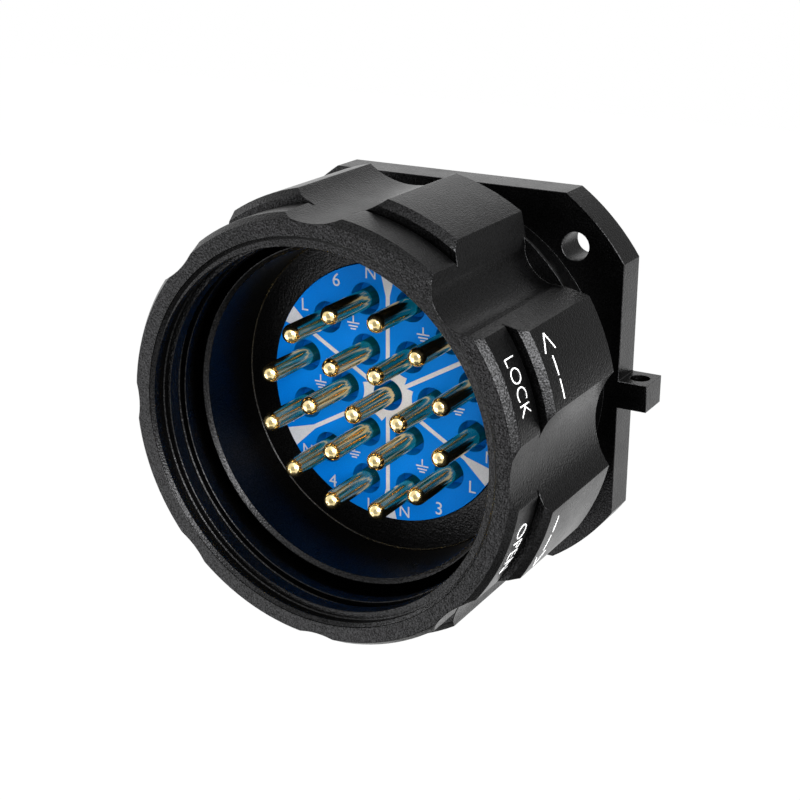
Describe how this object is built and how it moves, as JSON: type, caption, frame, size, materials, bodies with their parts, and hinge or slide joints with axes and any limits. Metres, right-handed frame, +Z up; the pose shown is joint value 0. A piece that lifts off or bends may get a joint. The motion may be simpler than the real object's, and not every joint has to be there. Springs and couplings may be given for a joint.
{
  "type": "multipin panel connector",
  "caption": "Round panel connector with a corner-trimmed square flange, pin contacts in a printed blue insert and a fluted coupling ring that turns on the shell.",
  "frame": {"origin": "on the connector's axis, in the rear face of the flange that seats on the panel", "axes": "+Y along the axis towards the wires behind the panel, so the mating face looks along -Y; +X towards the lanyard lug; +Z up, towards the key in the socket"},
  "size_m": [0.0659, 0.0575, 0.0648],
  "materials": {
    "shell_black": "fine-grained black hard coat, satin",
    "ring_black": "fine-grained black hard coat, satin, with white marks",
    "spring_steel": "plain spring steel",
    "seal_rubber": "matt black rubber",
    "insert_blue": "blue moulded insulator with a light grey print",
    "insert_black": "matt black moulded insulator",
    "nut_black": "black hard coat",
    "contact_gold": "polished, gold plated"
  },
  "bodies": {
    "shell": {"panel_shell": "shell_black", "retaining_ring": "spring_steel", "sealing_ring": "seal_rubber", "front_insert": "insert_blue", "rear_insert": "insert_black", "insert_nut": "nut_black", "contact_01": "contact_gold", "contact_02": "contact_gold", "contact_03": "contact_gold", "contact_04": "contact_gold", "contact_05": "contact_gold", "contact_06": "contact_gold", "contact_07": "contact_gold", "contact_08": "contact_gold", "contact_09": "contact_gold", "contact_10": "contact_gold", "contact_11": "contact_gold", "contact_12": "contact_gold", "contact_13": "contact_gold", "contact_14": "contact_gold", "contact_15": "contact_gold", "contact_16": "contact_gold", "contact_17": "contact_gold", "contact_18": "contact_gold", "contact_19": "contact_gold"},
    "ring": {"coupling_ring": "ring_black"}
  },
  "joints": [
    {"name": "ring_turn", "type": "hinge", "parent": "shell", "child": "ring", "pos_m": [0, -0.0179, 0], "axis": [0, -1, 0], "continuous": true}
  ]
}
